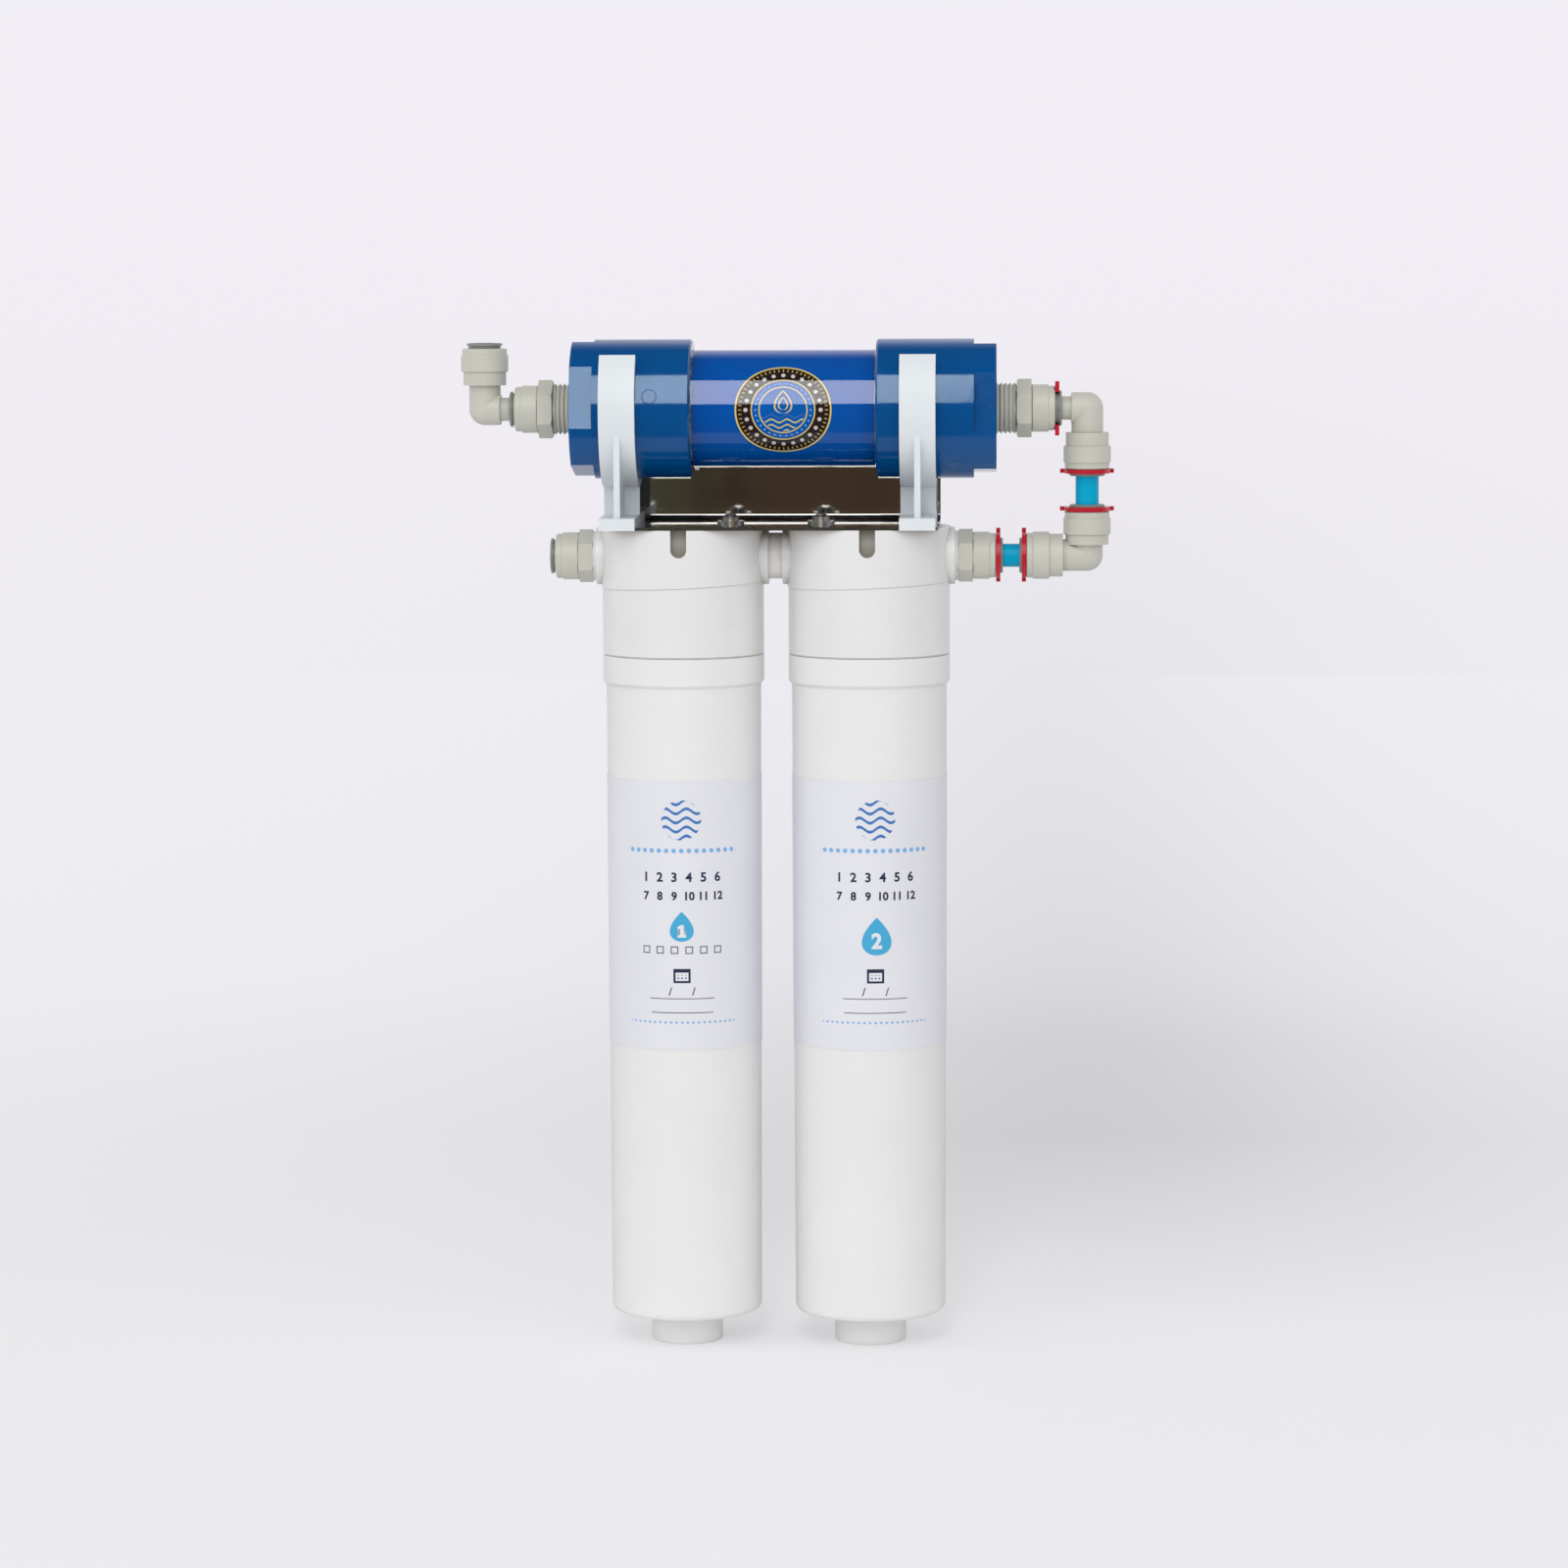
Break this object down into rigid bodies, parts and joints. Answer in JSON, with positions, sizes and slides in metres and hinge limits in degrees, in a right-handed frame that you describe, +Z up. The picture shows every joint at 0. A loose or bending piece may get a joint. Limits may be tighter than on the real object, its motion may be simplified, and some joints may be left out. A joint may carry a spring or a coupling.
{
  "type": "under sink water filter",
  "caption": "Under-sink water filter: two quarter-turn cartridges in heads below a folded steel wall bracket, with a blue inline chamber clipped on top and push-fit plumbing.",
  "frame": {"origin": "middle of the line through the two wall slots, on the bracket's back face", "axes": "+X to the right seen from the front, +Y out of the back of the bracket into the wall, +Z up along the cartridges"},
  "size_m": [0.2666, 0.0671, 0.4141],
  "materials": {
    "stainless_sheet": "bright polished stainless sheet",
    "screw_steel": "bright zinc",
    "clip_plastic": "moulded, satin gloss, bluish white",
    "head_plastic": "moulded, gloss, white",
    "union_plastic": "moulded, satin, light grey",
    "inner_plastic": "moulded, matt, white",
    "cartridge_plastic": "moulded, satin gloss, white",
    "filter_block": "pressed carbon, matt",
    "label_film": "printed film, white",
    "black_rubber": "moulded, satin",
    "blue_cap_plastic": "moulded, gloss, deep blue",
    "clear_plastic": "clear tube, polished",
    "blue_film": "printed film, blue",
    "chamber_media": "granules, matt",
    "fitting_plastic": "moulded, satin, warm light grey",
    "washer_plastic": "moulded, matt, white",
    "collet_plastic": "moulded, satin, dark grey",
    "red_plastic": "moulded, gloss, crimson",
    "blue_tube": "extruded, gloss, bright blue"
  },
  "bodies": {
    "frame": {"wall_bracket": "stainless_sheet", "head_screws": "screw_steel", "head_washers": "screw_steel", "head_spring_washers": "screw_steel", "clip_screws": "screw_steel", "left_valve_spring": "screw_steel", "right_valve_spring": "screw_steel", "left_clip": "clip_plastic", "right_clip": "clip_plastic", "left_head": "head_plastic", "right_head": "head_plastic", "head_union": "union_plastic", "left_valve_plunger": "inner_plastic", "right_valve_plunger": "inner_plastic", "chamber_screens": "inner_plastic", "union_seals": "black_rubber", "chamber_seals": "black_rubber", "port_seals": "black_rubber", "left_end_cap": "blue_cap_plastic", "right_end_cap": "blue_cap_plastic", "chamber_tube": "clear_plastic", "chamber_label": "blue_film", "chamber_media": "chamber_media", "outlet_connector": "fitting_plastic", "chamber_connector": "fitting_plastic", "inlet_connector": "fitting_plastic", "transfer_connector": "fitting_plastic", "crossover_elbow": "fitting_plastic", "corner_elbow": "fitting_plastic", "port_washers": "washer_plastic", "crossover_stem_collet": "collet_plastic", "crossover_lower_collet": "collet_plastic", "corner_upper_collet": "collet_plastic", "corner_side_collet": "collet_plastic", "transfer_collet": "collet_plastic", "upright_tube": "blue_tube", "level_tube": "blue_tube"},
    "cartridge_1": {"cartridge_1_shell": "cartridge_plastic", "cartridge_1_closure": "cartridge_plastic", "cartridge_1_seals": "black_rubber", "cartridge_1_block": "filter_block", "cartridge_1_end_discs": "inner_plastic", "cartridge_1_label": "label_film"},
    "cartridge_2": {"cartridge_2_shell": "cartridge_plastic", "cartridge_2_closure": "cartridge_plastic", "cartridge_2_seals": "black_rubber", "cartridge_2_block": "filter_block", "cartridge_2_end_discs": "inner_plastic", "cartridge_2_label": "label_film"},
    "outlet_elbow": {"outlet_elbow": "fitting_plastic", "outlet_seal": "black_rubber"},
    "outlet_collet": {"outlet_collet": "collet_plastic"},
    "outlet_stem_collet": {"outlet_stem_collet": "collet_plastic"},
    "inlet_collet": {"inlet_collet": "collet_plastic"},
    "crossover_stem_lock": {"crossover_stem_lock_clip": "red_plastic"},
    "crossover_lower_lock": {"crossover_lower_lock_clip": "red_plastic"},
    "corner_upper_lock": {"corner_upper_lock_clip": "red_plastic"},
    "corner_side_lock": {"corner_side_lock_clip": "red_plastic"},
    "transfer_lock": {"transfer_lock_clip": "red_plastic"}
  },
  "joints": [
    {"name": "cartridge_1_turn", "type": "hinge", "parent": "frame", "child": "cartridge_1", "pos_m": [-0.0381, -0.0337, -0.0958], "axis": [0, 0, 1], "range_deg": [-90, 0]},
    {"name": "cartridge_2_turn", "type": "hinge", "parent": "frame", "child": "cartridge_2", "pos_m": [0.0381, -0.0337, -0.0958], "axis": [0, 0, 1], "range_deg": [-90, 0]},
    {"name": "outlet_swivel", "type": "hinge", "parent": "frame", "child": "outlet_elbow", "pos_m": [-0.1189, -0.0337, 0.0042], "axis": [1, 0, 0], "continuous": true},
    {"name": "outlet_collet_press", "type": "slide", "parent": "outlet_elbow", "child": "outlet_collet", "axis": [0, 0, -1], "range_m": [0, 0.0011]},
    {"name": "outlet_stem_collet_press", "type": "slide", "parent": "frame", "child": "outlet_stem_collet", "axis": [1, 0, 0], "range_m": [0, 0.0011]},
    {"name": "inlet_collet_press", "type": "slide", "parent": "frame", "child": "inlet_collet", "axis": [1, 0, 0], "range_m": [0, 0.0011]},
    {"name": "crossover_stem_lock_slide", "type": "slide", "parent": "frame", "child": "crossover_stem_lock", "axis": [0, 1, 0], "range_m": [0, 0.02]},
    {"name": "crossover_lower_lock_slide", "type": "slide", "parent": "frame", "child": "crossover_lower_lock", "axis": [0, -1, 0], "range_m": [0, 0.02]},
    {"name": "corner_upper_lock_slide", "type": "slide", "parent": "frame", "child": "corner_upper_lock", "axis": [0, -1, 0], "range_m": [0, 0.02]},
    {"name": "corner_side_lock_slide", "type": "slide", "parent": "frame", "child": "corner_side_lock", "axis": [0, -1, 0], "range_m": [0, 0.02]},
    {"name": "transfer_lock_slide", "type": "slide", "parent": "frame", "child": "transfer_lock", "axis": [0, -1, 0], "range_m": [0, 0.02]}
  ]
}
